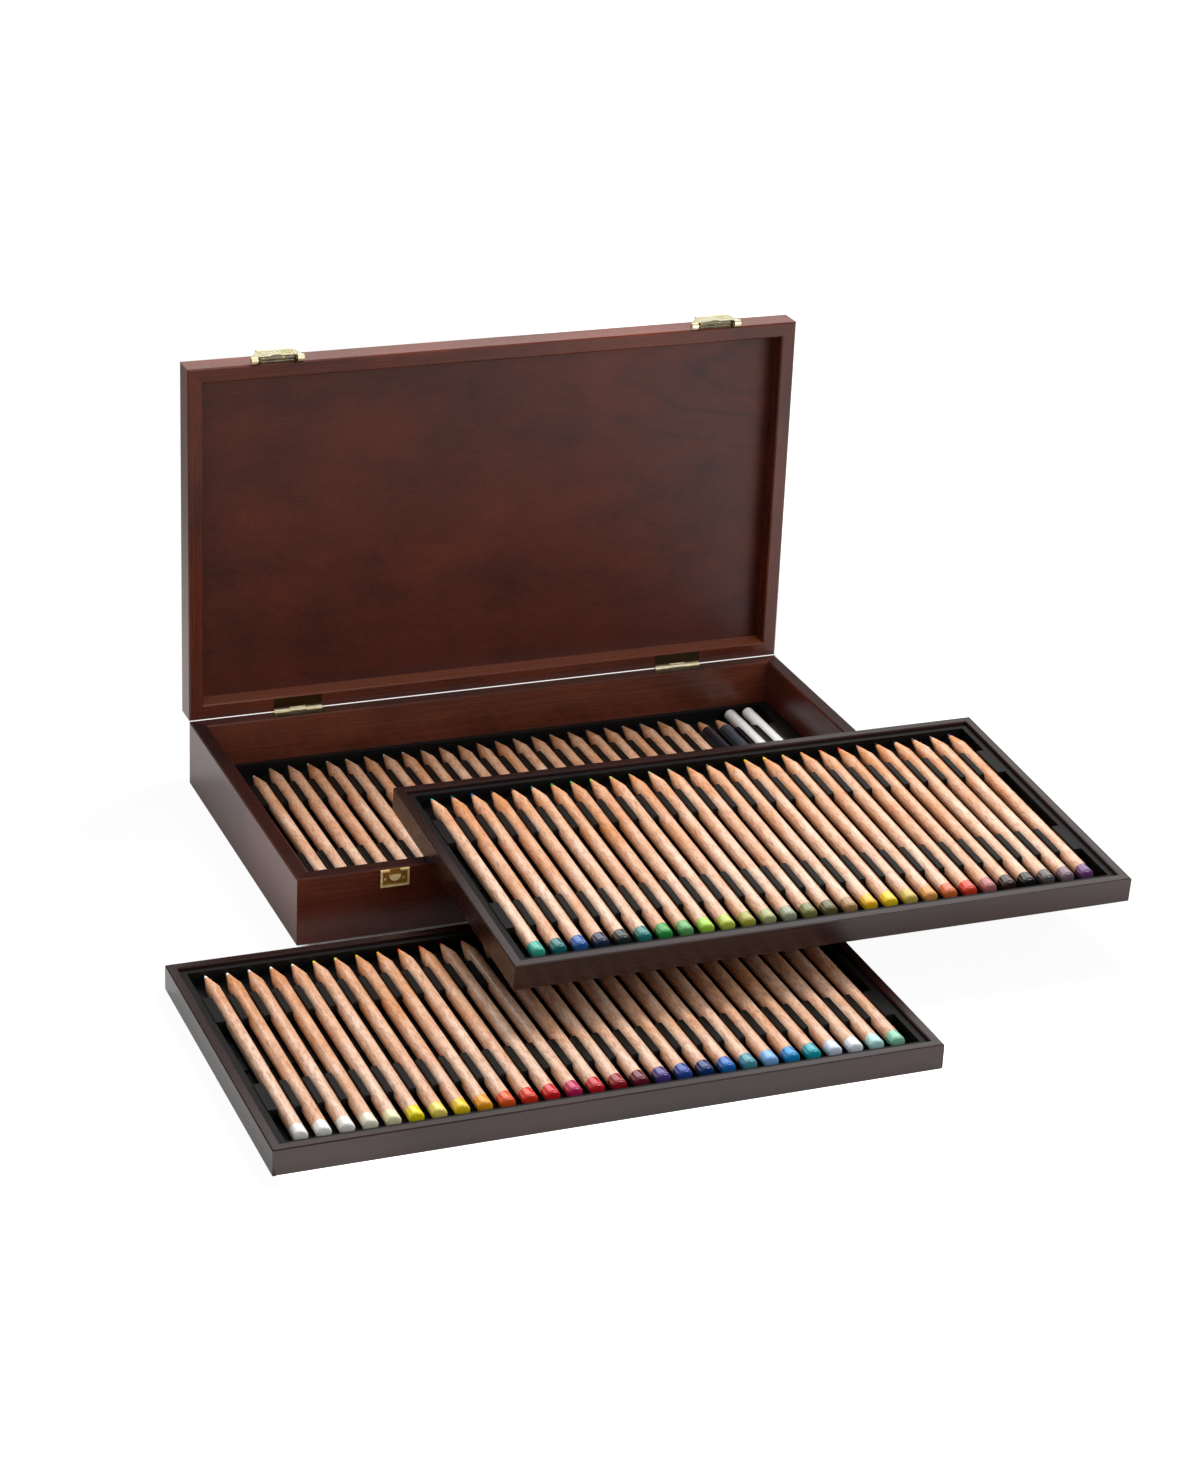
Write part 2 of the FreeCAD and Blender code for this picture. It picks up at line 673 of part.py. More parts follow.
TRAY_EDGE_X = "Sizes.TrayWidth / 2 - Sizes.TrayWall - Sizes.InsertFit"
TRAY_EDGE_Y = "Sizes.TrayDepth / 2 - Sizes.TrayWall - Sizes.InsertFit"
BASE_EDGE_X = "Sizes.CaseWidth / 2 - Sizes.CaseWall - Sizes.InsertFit"
BASE_EDGE_Y = "Sizes.CaseDepth / 2 - Sizes.CaseWall - Sizes.InsertFit"

base_insert = moulded_insert(
    "base_insert",
    f"{BASE_EDGE_X} + Sizes.BaseWellAcross", f"{BASE_EDGE_X} - Sizes.BaseWellAcross",
    f"{BASE_EDGE_Y} + Sizes.BaseWellBack", f"{BASE_EDGE_Y} - Sizes.BaseWellBack",
)
BASE_WELL = shift(size("BaseWellAcross"), size("BaseWellBack"), read(BASE_FLOOR))
keep("base_insert", base_insert, BASE_WELL)


# Pencils: round cedar casings with a sharpened cone and a domed, dipped end, lying along +Y
def pencil_row(node, count, length, sharpened=True):
    """A rod whose ends are tapered by cuts turned about its axis, repeated across the row."""
    body = new_body(node)
    body.AllowCompound = True
    full = "Sizes.PencilRadius"
    corner = f"{full} / cos(180 deg / {ROUND_SIDES})"
    ring = [
        (f"{corner} * cos({side + 0.5} * 360 deg / {ROUND_SIDES})",
         f"{corner} * sin({side + 0.5} * 360 deg / {ROUND_SIDES})")
        for side in range(ROUND_SIDES)
    ]
    casing = outline(body, "Casing", "XZ_Plane", [ring])
    pad(body, "Rod", casing, length, backward=True)
    domed = f"Sizes.DomeShare * {full}"
    foot = [("0", full), ("0", domed), ("Sizes.DomeLength", full)]
    if sharpened:
        point = [(f"{length} - Sizes.ConeLength", full), (length, "Sizes.TipRadius"), (length, full)]
    else:
        point = [(f"{length} - Sizes.DomeLength", full), (length, domed), (length, full)]
    tapers = outline(body, "TaperLines", "YZ_Plane", [foot, point])
    taper = pocket(body, "Taper", tapers, f"3 * {full}", symmetric=True)
    turn = body.newObject("PartDesign::PolarPattern", "Tapers")
    turn.Originals = [taper]
    turn.Axis = (plane(body, "Y_Axis"), [""])
    turn.Occurrences = ROUND_SIDES
    body.Tip = turn
    doc.recompute()
    if count != "1":
        row = body.newObject("PartDesign::LinearPattern", "Row")
        row.TransformMode = "Whole shape"
        row.Direction = (plane(body, "YZ_Plane"), [""])
        row.setExpression("Occurrences", count)
        row.setExpression("Length", f"({count} - 1) * Sizes.PencilPitch")
        body.Tip = row
        doc.recompute()
    return body


def row_place(first, tip_gap):
    """Where the pencil in seat number first lies in a well, its dipped end towards the front."""
    across = (first - (size("PencilCount") - 1) / 2) * size("PencilPitch")
    end = size("WellDepth") / 2 - size(tip_gap) - size("PencilLength")
    return shift(across, end, size("PencilAxisUp"))


# The box's row: a pencil worn short, cedar pencils, a black and a grey pencil, and blunt white sticks
FULL = "Sizes.PencilLength"
CEDAR_COUNT = "Sizes.PencilCount - Sizes.StickCount - 3"
LAST_CEDAR = int(read(CEDAR_COUNT))
BASE_ROW = (
    ("base_worn_pencil", 0, "1", f"{FULL} - Sizes.WornPencil", True),
    ("base_pencils", 1, CEDAR_COUNT, FULL, True),
    ("base_black_pencil", LAST_CEDAR + 1, "1", f"{FULL} - Sizes.DarkPencilShort", True),
    ("base_grey_pencil", LAST_CEDAR + 2, "1", f"{FULL} - Sizes.DarkPencilShort", True),
    ("base_blender_sticks", LAST_CEDAR + 3, "Sizes.StickCount", f"{FULL} - Sizes.StickShort", False),
)
for node, first, count, length, sharpened in BASE_ROW:
    keep(node, pencil_row(node, count, length, sharpened), BASE_WELL * row_place(first, "BaseTipGap"))

for prefix, frame in (("upper_tray", UPPER_TRAY_FRAME), ("lower_tray", LOWER_TRAY_FRAME)):
    frame_of_rails(prefix, frame, "TrayWidth", "TrayDepth", "rail", tray_rail)
    panel(
        f"{prefix}_panel", frame, "TrayWidth", "TrayDepth", "TrayWall", "TrayRebate",
        "Sizes.TraySetUp", "TrayPanelThickness",
    )
    well = frame * shift(0, 0, read(TRAY_FLOOR))
    insert = moulded_insert(f"{prefix}_insert", TRAY_EDGE_X, TRAY_EDGE_X, TRAY_EDGE_Y, TRAY_EDGE_Y)
    keep(f"{prefix}_insert", insert, well)
    row = pencil_row(f"{prefix}_pencils", "Sizes.PencilCount", FULL)
    keep(f"{prefix}_pencils", row, well * row_place(0, "TrayTipGap"))


doc.recompute()
failed = [item.Name for item in doc.Objects if {"Invalid", "Error"} & set(item.State)]
if failed:
    raise RuntimeError(f"Objects that failed: {failed}")
for node, solid in NODES.items():
    if solid.Shape.isNull() or not solid.Shape.isValid():
        raise RuntimeError(f"{node} has no valid shape")

os.makedirs("parts", exist_ok=True)
for node, solid in NODES.items():
    solid.Shape.exportStep(f"parts/{node}.step")
    bounds = solid.Shape.BoundBox
    print(
        f"{node}: {len(solid.Shape.Solids)} solid(s), {solid.Shape.Volume:.0f} mm3, "
        f"{bounds.XLength:.2f} x {bounds.YLength:.2f} x {bounds.ZLength:.2f}"
    )
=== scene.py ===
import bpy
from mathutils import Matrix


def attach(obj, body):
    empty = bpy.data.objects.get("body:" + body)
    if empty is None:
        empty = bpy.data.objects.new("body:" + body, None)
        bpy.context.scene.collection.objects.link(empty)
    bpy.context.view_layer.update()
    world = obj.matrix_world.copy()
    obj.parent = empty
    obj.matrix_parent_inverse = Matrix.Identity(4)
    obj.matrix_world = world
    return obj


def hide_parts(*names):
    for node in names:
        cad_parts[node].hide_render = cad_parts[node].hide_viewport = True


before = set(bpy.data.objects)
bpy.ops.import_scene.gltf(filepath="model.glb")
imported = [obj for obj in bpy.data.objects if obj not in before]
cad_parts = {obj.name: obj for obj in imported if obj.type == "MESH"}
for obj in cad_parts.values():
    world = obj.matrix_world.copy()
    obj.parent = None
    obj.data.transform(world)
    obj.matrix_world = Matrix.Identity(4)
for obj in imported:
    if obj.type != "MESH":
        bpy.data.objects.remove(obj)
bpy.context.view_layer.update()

import math

import bpy
import numpy as np
from mathutils import Matrix, Vector

# Artists' pencil case in stained mahogany: a hinged box standing open, one tray leaning on its rim
# and one on the table, each with a row of cedar pencils in a black moulded insert.


# Camera
# A long lens from the front left, a little above the case. The angles, the place and the focal
# length were fitted to the corners of the box, the lid and both trays. The shift is small.
AZIMUTH, ELEVATION, ROLL = -0.3804, 0.4158, 0.0430  # radians
STANDPOINT = (-0.7025131, -1.746659, 0.9014339)
PICTURE = (1200, 1467)
FOCAL_PIXELS, CENTRE_OF_VIEW = 3497.0, (550.0, 713.5)
SENSOR = 36

back = np.array([
    math.sin(AZIMUTH) * math.cos(ELEVATION), -math.cos(AZIMUTH) * math.cos(ELEVATION),
    math.sin(ELEVATION),
])
sideways = np.array([math.cos(AZIMUTH), math.sin(AZIMUTH), 0.0])
rise = np.cross(back, sideways)
right = math.cos(ROLL) * sideways + math.sin(ROLL) * rise
upward = math.cos(ROLL) * rise - math.sin(ROLL) * sideways

lens = bpy.data.cameras.new("view_camera")
lens.sensor_width = SENSOR
lens.lens = FOCAL_PIXELS / PICTURE[1] * SENSOR
lens.shift_x = (PICTURE[0] / 2 - CENTRE_OF_VIEW[0]) / PICTURE[1]
lens.shift_y = (CENTRE_OF_VIEW[1] - PICTURE[1] / 2) / PICTURE[1]
lens.clip_start, lens.clip_end = 0.05, 50
camera = bpy.data.objects.new("view_camera", lens)
camera.matrix_world = Matrix((
    (right[0], upward[0], back[0], STANDPOINT[0]),
    (right[1], upward[1], back[1], STANDPOINT[1]),
    (right[2], upward[2], back[2], STANDPOINT[2]),
    (0, 0, 0, 1),
))
bpy.context.scene.collection.objects.link(camera)
bpy.context.scene.camera = camera
bpy.context.scene.view_settings.view_transform = "Standard"


# Table and light
# A plain white table in a pale room. A strong lamp hangs high behind the right corner, as the shade
# under the raised tray shows, and a standing panel behind gives the upper faces their sheen. Broad
# softer lamps fill in from above and in front. The camera sees the room as plain white.
def linear(code):
    """The linear red, green, blue and alpha of a hex sRGB colour, by the sRGB curve."""
    values = np.array([int(code[place:place + 2], 16) for place in (1, 3, 5)]) / 255
    values = np.where(values <= 0.04045, values / 12.92, ((values + 0.055) / 1.055) ** 2.4)
    return (*values.tolist(), 1.0)


def add(tree, kind, inputs=None, **settings):
    """Adds one shader node. Its inputs are values, or other nodes' sockets to link."""
    made = tree.nodes.new("ShaderNode" + kind)
    for name, value in settings.items():
        setattr(made, name, value)
    for socket, value in (inputs or {}).items():
        if isinstance(value, bpy.types.NodeSocket):
            tree.links.new(value, made.inputs[socket])
        else:
            made.inputs[socket].default_value = value
    return made


WHITE = linear("#ffffff")
AMBIENT_LIGHT, ROOM_IN_GLOSS, TABLE_IN_GLOSS = 0.22, 0.06, 0.6
world = bpy.data.worlds.new("white_surround")
world.use_nodes = True
tree = world.node_tree
tree.nodes.clear()
ray = add(tree, "LightPath")
ambient = add(tree, "Background", {"Color": linear("#f4f3f1"), "Strength": AMBIENT_LIGHT})
plain = add(tree, "Background", {"Color": WHITE, "Strength": 1.0})
# Glass would show the white surround whole; the satin lacquer and brass show a soft share of it
seen = add(tree, "Math", {0: ray.outputs["Is Camera Ray"], 1: ray.outputs["Is Transmission Ray"]},
           operation="MAXIMUM")
gloss = add(tree, "Math", {0: ray.outputs["Is Glossy Ray"], 1: ROOM_IN_GLOSS},
            operation="MULTIPLY")
seen = add(tree, "Math", {0: seen.outputs[0], 1: gloss.outputs[0]}, operation="MAXIMUM")
shown = add(tree, "MixShader", {0: seen.outputs[0], 1: ambient.outputs[0], 2: plain.outputs[0]})
add(tree, "OutputWorld", {"Surface": shown.outputs[0]})
bpy.context.scene.world = world

TABLE_HALF, TABLE_DROP = 4.0, 0.0004  # metres; the table lies just under the case
corners = np.array([[-1, -1, 0], [1, -1, 0], [1, 1, 0], [-1, 1, 0]]) * TABLE_HALF
table_mesh = bpy.data.meshes.new("table_top")
table_mesh.from_pydata((corners - [0, 0, TABLE_DROP]).tolist(), [], [(0, 1, 2, 3)])
table = bpy.data.objects.new("table_top", table_mesh)
bpy.context.scene.collection.objects.link(table)
paper = bpy.data.materials.new("White card table")
paper.use_nodes = True
tree = paper.node_tree
tree.nodes.clear()
ray = add(tree, "LightPath")
matt = add(tree, "BsdfDiffuse", {"Color": linear("#f2f1ef")})
# Painted reflection: for glossy rays the table glows, though it is no lamp, in a bright strip
# across the front of the case, a bright stretch on either side of it, and less of the table farther
# away, and the lacquer mirrors this brightness. Edges are in metres, levels in shares of white
STRIP_MIDDLE, STRIP_LEFT_END = 0.345, -0.272
spot = add(tree, "TexCoord").outputs["Object"]
reach = add(tree, "VectorMath", {0: spot}, operation="LENGTH").outputs["Value"]
near = add(tree, "MapRange", {
    "Value": reach, "From Min": 0.3, "From Max": 0.6, "To Min": 0.35, "To Max": 0.0,
})
apart = add(tree, "SeparateXYZ", {0: spot})
beside = add(tree, "MapRange", {
    "Value": apart.outputs["X"], "From Min": 0.2, "From Max": 0.34, "To Min": 0.0, "To Max": 1.5,
})
left = add(tree, "MapRange", {
    "Value": apart.outputs["X"], "From Min": -0.19, "From Max": -0.23, "To Min": 0.0, "To Max": 0.6,
})
nearby = add(tree, "MapRange", {
    "Value": reach, "From Min": 0.4, "From Max": 0.75, "To Min": 1.0, "To Max": 0.0,
})
sides = add(tree, "Math", {0: left.outputs[0], 1: nearby.outputs[0], 2: beside.outputs[0]},
            operation="MULTIPLY_ADD")
off = add(tree, "Math", {0: apart.outputs["Y"], 1: STRIP_MIDDLE}, operation="ADD")
off = add(tree, "Math", {0: off.outputs[0]}, operation="ABSOLUTE")
strip = add(tree, "MapRange", {
    "Value": off.outputs[0], "From Min": 0.03, "From Max": 0.05, "To Min": 2.0, "To Max": 0.0,
})
inside = add(tree, "Math", {0: apart.outputs["X"], 1: STRIP_LEFT_END}, operation="GREATER_THAN")
level = add(tree, "Math", {0: strip.outputs[0], 1: inside.outputs[0], 2: near.outputs[0]},
            operation="MULTIPLY_ADD")
level = add(tree, "Math", {0: level.outputs[0], 1: sides.outputs[0]}, operation="ADD")
level = add(tree, "Math", {0: level.outputs[0], 1: ray.outputs["Is Camera Ray"]},
            operation="MAXIMUM")
painted_reflection_glow = add(tree, "Emission", {"Color": WHITE, "Strength": level.outputs[0]})
# The camera sees a little of the real shading near the case, and plain white farther off
share = add(tree, "MapRange", {
    "Value": reach, "From Min": 0.4, "From Max": 0.8, "To Min": 0.95, "To Max": 1.0,
})
# The slit between the box's front and the lower tray lies in the box's own shade
SLIT_MIDDLE = 0.122
deep = add(tree, "Math", {0: apart.outputs["Y"], 1: SLIT_MIDDLE}, operation="ADD")
deep = add(tree, "Math", {0: deep.outputs[0]}, operation="ABSOLUTE")
deep = add(tree, "MapRange", {"Value": deep.outputs[0], "From Min": 0.013, "From Max": 0.018})
wide = add(tree, "Math", {0: apart.outputs["X"]}, operation="ABSOLUTE")
wide = add(tree, "MapRange", {"Value": wide.outputs[0], "From Min": 0.184, "From Max": 0.192})
open_table = add(tree, "Math", {0: deep.outputs[0], 1: wide.outputs[0]}, operation="MAXIMUM")
share = add(tree, "Math", {0: share.outputs[0], 1: open_table.outputs[0]}, operation="MULTIPLY")
seen = add(tree, "Math", {0: ray.outputs["Is Camera Ray"], 1: share.outputs[0]},
           operation="MULTIPLY")
# Glossy rays see the table's painted reflection brightness at this share
gloss = add(tree, "Math", {0: ray.outputs["Is Glossy Ray"], 1: TABLE_IN_GLOSS},
            operation="MULTIPLY")
seen = add(tree, "Math", {0: seen.outputs[0], 1: gloss.outputs[0]}, operation="MAXIMUM")
cover = add(tree, "MixShader", {0: seen.outputs[0], 1: matt.outputs[0], 2: painted_reflection_glow.outputs[0]})
add(tree, "OutputMaterial", {"Surface": cover.outputs[0]})
table_mesh.materials.append(paper)

MIDDLE_OF_CASE = Vector((0, -0.15, 0.05))
for name, place, across, power in (
    ("back_right", (0.42, 0.4, 1.35), 0.5, 24),
    ("front_right", (1.0, -1.9, 1.1), 1.4, 18),
    ("overhead", (-0.3, -0.35, 2.1), 1.6, 11),
):
    lamp = bpy.data.lights.new(name, "AREA")
    lamp.shape, lamp.size, lamp.energy = "DISK", across, power
    holder = bpy.data.objects.new(name, lamp)
    # The strong lamp is hidden from the lacquer, which mirrors only the softer ones
    holder.visible_glossy = name != "back_right"
    holder.matrix_world = (
        Matrix.Translation(place)
        @ (MIDDLE_OF_CASE - Vector(place)).to_track_quat("-Z", "Y").to_matrix().to_4x4()
    )
    bpy.context.scene.collection.objects.link(holder)

panel = bpy.data.lights.new("back_panel", "AREA")
panel.shape, panel.size, panel.size_y, panel.energy = "RECTANGLE", 1.6, 0.6, 4.6
holder = bpy.data.objects.new("back_panel", panel)
holder.matrix_world = (
    Matrix.Translation((0.35, 0.45, 0.67)) @ Matrix.Rotation(-math.pi / 2, 4, "X")
)
holder.visible_camera = False
bpy.context.scene.collection.objects.link(holder)


# Box, lid and tray woodwork
# Mahogany, planed and mitred, with veneered panels let into rebates. A dark red-brown stain lies
# deeper in the open pores than on the ridges between them, under thin satin lacquer, so the wood
# looks deep and softly glossy, with fine broken lines. Upward faces of the box and trays are
# darker:
# painted shade. The lid's ledge is paler on top: painted light.
def new_finish(name):
    """A new material, with its node tree and its shader."""
    material = bpy.data.materials.new(name)
    material.use_nodes = True
    return material, material.node_tree, material.node_tree.nodes["Principled BSDF"]


def coat(part, material):
    """Gives a carried-over solid one finish all over."""
    part.data.materials.clear()
    part.data.materials.append(material)


PORE_AND_TOP_SHADE = "#150706"
KNOT, KNOT_SPREAD = (0.215, 0.0, 0.232), (11.0, 0.0, 34.0)
SATIN, DULL_SATIN = (0.18, 0.34), (0.34, 0.46)


def stained_mahogany(name, turn, dark, light, sheen=SATIN, painted_top_share=0.0, painted_top_colour=PORE_AND_TOP_SHADE, rotary=False):
    """Grain along X before it is turned: streaks, cloudy figure and short open pores, each a noise
    stretched along the grain. Upward faces take a share of one more colour: painted shade, or
    painted light where that colour is paler than the wood. Rotary veneer has short flecks for
    streaks, and a figure's dark lines: crests of the sine of the distance to a knot near the right
    side, bent by a noise and fading away from it."""
    material, tree, shader = new_finish(name)
    place = add(tree, "TexCoord").outputs["Object"]
    board = add(tree, "Mapping", {"Vector": place, "Rotation": turn}, vector_type="TEXTURE")

    def streaks(along, across, detail, shift=0.0):
        """Noise with so many features to the metre along the grain and across it."""
        stretched = add(tree, "Mapping", {
            "Vector": board.outputs[0], "Location": (shift, shift, shift),
            "Scale": (along, across, across),
        })
        return add(tree, "TexNoise", {
            "Vector": stretched.outputs[0], "Scale": 1.0, "Detail": detail, "Roughness": 0.6,
        }).outputs["Fac"]

    # Streaks are 1.4 mm wide and 70 mm long, and rotary flecks 1.8 by 5 mm. The figure's clouds are
    # 53 by 83 mm. Pores are 0.6 by 11 mm, drawn coarser than the real 0.2 by 3 mm so that they show
    fine = streaks(210, 560, 5) if rotary else streaks(14, 700, 4)
    cloud = streaks(12, 19, 5, 3.7)
    pores = streaks(90, 1700, 2, 9.1)
    tone = add(tree, "MapRange", {
        "Value": fine, "From Min": 0.3, "From Max": 0.7, "To Min": 0.36, "To Max": 0.6,
    })
    drift = add(tree, "MapRange", {
        "Value": cloud, "From Min": 0.32, "From Max": 0.68, "To Min": -0.26, "To Max": 0.26,
    })
    tone = add(tree, "Math", {0: tone.outputs[0], 1: drift.outputs[0]}, operation="ADD")
    if rotary:
        knot = add(tree, "VectorMath", {0: board.outputs[0], 1: KNOT}, operation="SUBTRACT")
        knot = add(tree, "VectorMath", {0: knot.outputs[0], 1: KNOT_SPREAD}, operation="MULTIPLY")
        away = add(tree, "VectorMath", {0: knot.outputs[0]}, operation="LENGTH").outputs["Value"]
        bent = add(tree, "Math", {0: streaks(10, 22, 2, 6.2), 1: 1.1, 2: away},
                   operation="MULTIPLY_ADD")
        wave = add(tree, "Math", {0: bent.outputs[0], 1: 11.0}, operation="MULTIPLY")
        wave = add(tree, "Math", {0: wave.outputs[0]}, operation="SINE")
        line = add(tree, "MapRange", {
            "Value": wave.outputs[0], "From Min": 0.55, "From Max": 1.0, "To Min": 0.0,
            "To Max": 0.17,
        })
        fade = add(tree, "MapRange", {
            "Value": away, "From Min": 1.2, "From Max": 3.0, "To Min": 1.0, "To Max": 0.12,
        })
        line = add(tree, "Math", {0: line.outputs[0], 1: fade.outputs[0]}, operation="MULTIPLY")
        tone = add(tree, "Math", {0: tone.outputs[0], 1: line.outputs[0]}, operation="SUBTRACT")
    colour = add(tree, "Mix", {0: tone.outputs[0], 6: linear(dark), 7: linear(light)},
                 data_type="RGBA")
    open_pore = add(tree, "MapRange", {
        "Value": pores, "From Min": 0.6, "From Max": 0.7, "To Min": 0.0, "To Max": 0.45,
    })
    colour = add(tree, "Mix", {0: open_pore.outputs[0], 6: colour.outputs[2], 7: linear(PORE_AND_TOP_SHADE)},
                 data_type="RGBA")
    # Painted shade on upward faces, or painted light where the laid colour is paler than the wood
    facing = add(tree, "SeparateXYZ", {0: add(tree, "TexCoord").outputs["Normal"]})
    painted_top = add(tree, "MapRange", {
        "Value": facing.outputs["Z"], "From Min": 0.5, "From Max": 0.9, "To Min": 0.0,
        "To Max": painted_top_share,
    })
    colour = add(tree, "Mix", {0: painted_top.outputs[0], 6: colour.outputs[2], 7: linear(painted_top_colour)},
                 data_type="RGBA")
    tree.links.new(colour.outputs[2], shader.inputs["Base Color"])
    rough = add(tree, "MapRange", {"Value": fine, "To Min": sheen[0], "To Max": sheen[1]})
    tree.links.new(rough.outputs[0], shader.inputs["Roughness"])
    shader.inputs["IOR"].default_value = 1.45
    bump = add(tree, "Bump", {"Height": pores, "Strength": 0.12, "Distance": 0.0002})
    tree.links.new(bump.outputs[0], shader.inputs["Normal"])
    return material


ALONG_X, ALONG_Y, UPRIGHT = (0, 0, 0), (0, 0, math.pi / 2), (0, math.pi / 2, 0)
STAIN, DEEP_STAIN = ("#33140e", "#74321f"), ("#190a08", "#3a1b15")
lid_long = stained_mahogany("Stained mahogany lid rails", ALONG_X, *STAIN)
lid_upright = stained_mahogany("Stained mahogany lid sides", UPRIGHT, *STAIN)
# Upward faces of the box walls and tray rails are darkened: painted shade
box_long = stained_mahogany("Stained mahogany box walls", ALONG_X, *STAIN, painted_top_share=0.85)
box_cross = stained_mahogany("Stained mahogany box sides", ALONG_Y, *STAIN, (0.26, 0.34),
                             painted_top_share=0.85)
tray_long = stained_mahogany("Dark stained tray rails", ALONG_X, *DEEP_STAIN, painted_top_share=0.6)
tray_cross = stained_mahogany("Dark stained tray sides", ALONG_Y, *DEEP_STAIN, painted_top_share=0.6)
# The ledge at the foot of the open lid is paler on its upward face: painted light. The back wall
# gets a paler copy of the stain: painted light on its lit inner face
lid_ledge = stained_mahogany("Stained mahogany lid ledge", ALONG_X, *STAIN, painted_top_share=0.8,
                             painted_top_colour="#8f4f36")
box_back = stained_mahogany("Stained mahogany back wall", ALONG_X, "#3f1c12", "#7f402c", painted_top_share=0.4)
veneer = stained_mahogany("Mahogany veneered panel", ALONG_X, "#290c07", "#69291a", DULL_SATIN,
                          rotary=True)

for name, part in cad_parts.items():
    across = "_left_" in name or "_right_" in name
    if name.endswith("panel"):
        coat(part, veneer)
    elif name == "lid_back_wall":
        coat(part, lid_ledge)
    elif name == "base_back_wall":
        coat(part, box_back)
    elif name.startswith("lid") and name.endswith("wall"):
        coat(part, lid_upright if across else lid_long)
    elif name.startswith("base") and name.endswith("wall"):
        coat(part, box_cross if across else box_long)
    elif name.endswith("rail"):
        coat(part, tray_cross if across else tray_long)


# Hinges, clasps and catch plates
# Stamped sheet brass under clear lacquer: pale and satin-bright where it is rolled or stands proud
# and is rubbed. The catch plates' field has an olive-brown toning. The hinge leaves and the clasp
# plates under the levers are dark: painted shade. The lacquer's haze is given by a metallic share
# below 1.
def satin_brass(name, pale, dull, metal, sheen=(0.18, 0.36), toned_or_painted_shade=None, spread=None):
    """Spots of a duller tone in the pale one. The third colour is laid away from the bright part:
    the real toning of the catch plates' field and painted shade on the hinge leaves. Spread is a
    function giving the socket whose value rises from 0 on the bright part to 1 off it."""
    material, tree, shader = new_finish(name)
    place = add(tree, "TexCoord").outputs["Object"]
    # Spots of handling are about 5 mm across
    spots = add(tree, "TexNoise", {"Vector": place, "Scale": 190.0, "Detail": 1.0}).outputs["Fac"]
    share = add(tree, "MapRange", {"Value": spots, "From Min": 0.35, "From Max": 0.7})
    colour = add(tree, "Mix", {0: share.outputs[0], 6: linear(pale), 7: linear(dull)},
                 data_type="RGBA")
    if toned_or_painted_shade:
        colour = add(tree, "Mix", {0: spread(tree, place), 6: colour.outputs[2], 7: linear(toned_or_painted_shade)},
                     data_type="RGBA")
    tree.links.new(colour.outputs[2], shader.inputs["Base Color"])
    shader.inputs["Metallic"].default_value = metal
    rough = add(tree, "MapRange", {"Value": spots, "To Min": sheen[0], "To Max": sheen[1]})
    tree.links.new(rough.outputs[0], shader.inputs["Roughness"])
    return material


HINGE_AXIS = (0.0, 0.1102, 0.0412)


def off_barrel(tree, place):
    """Distance from the hinge axis, which runs along X: 0 on the barrel, 1 past its radius."""
    across = add(tree, "VectorMath", {0: place, 1: (0.0, 1.0, 1.0)}, operation="MULTIPLY")
    away = add(tree, "VectorMath", {0: across.outputs[0], 1: HINGE_AXIS}, operation="DISTANCE")
    return add(tree, "MapRange", {
        "Value": away.outputs["Value"], "From Min": 0.0017, "From Max": 0.0022,
    }).outputs[0]


def below_border(tree, place):
    """Depth behind the face of the catch plates' raised border: 0 on it, 1 on the field."""
    depth = add(tree, "SeparateXYZ", {0: place}).outputs["Y"]
    return add(tree, "MapRange", {
        "Value": depth, "From Min": -0.1111, "From Max": -0.1107,
    }).outputs[0]


# Hinge leaves away from the barrel take a dark olive-brown: painted shade
hinge_brass = satin_brass("Satin brass hinge, toned leaves", "#fff6da", "#ecdcae", 0.8, (0.28, 0.4),
                          "#3c2c16", off_barrel)
lever_brass = satin_brass("Satin brass, rubbed bright", "#ece6c6", "#d6cba0", 0.7, (0.26, 0.36))
# The clasps' plates, pins and ears under the levers are dark brass: painted shade
plate_brass = satin_brass("Satin brass, toned", "#5c5030", "#40371f", 0.9)
catch_brass = satin_brass("Satin brass catch, toned field", "#fbe9b4", "#ecca78", 0.2, (0.2, 0.4),
                          "#93682c", below_border)
nail_brass = satin_brass("Satin brass nails", "#e6d090", "#c9a85c", 0.6)
for name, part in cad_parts.items():
    if "hinge" in name:
        coat(part, hinge_brass)
    elif "catch" in name:
        coat(part, catch_brass)
    elif "clasp" in name:
        coat(part, lever_brass if name.endswith("lever") else plate_brass)


NAIL_RISES = np.array([-0.05, 0.06, 0.17, 0.25, 0.29])  # mm
NAIL_RADII = np.array([1.0, 1.0, 0.82, 0.5, 0.12])  # shares of the head's radius
NAIL_SIDES = 16


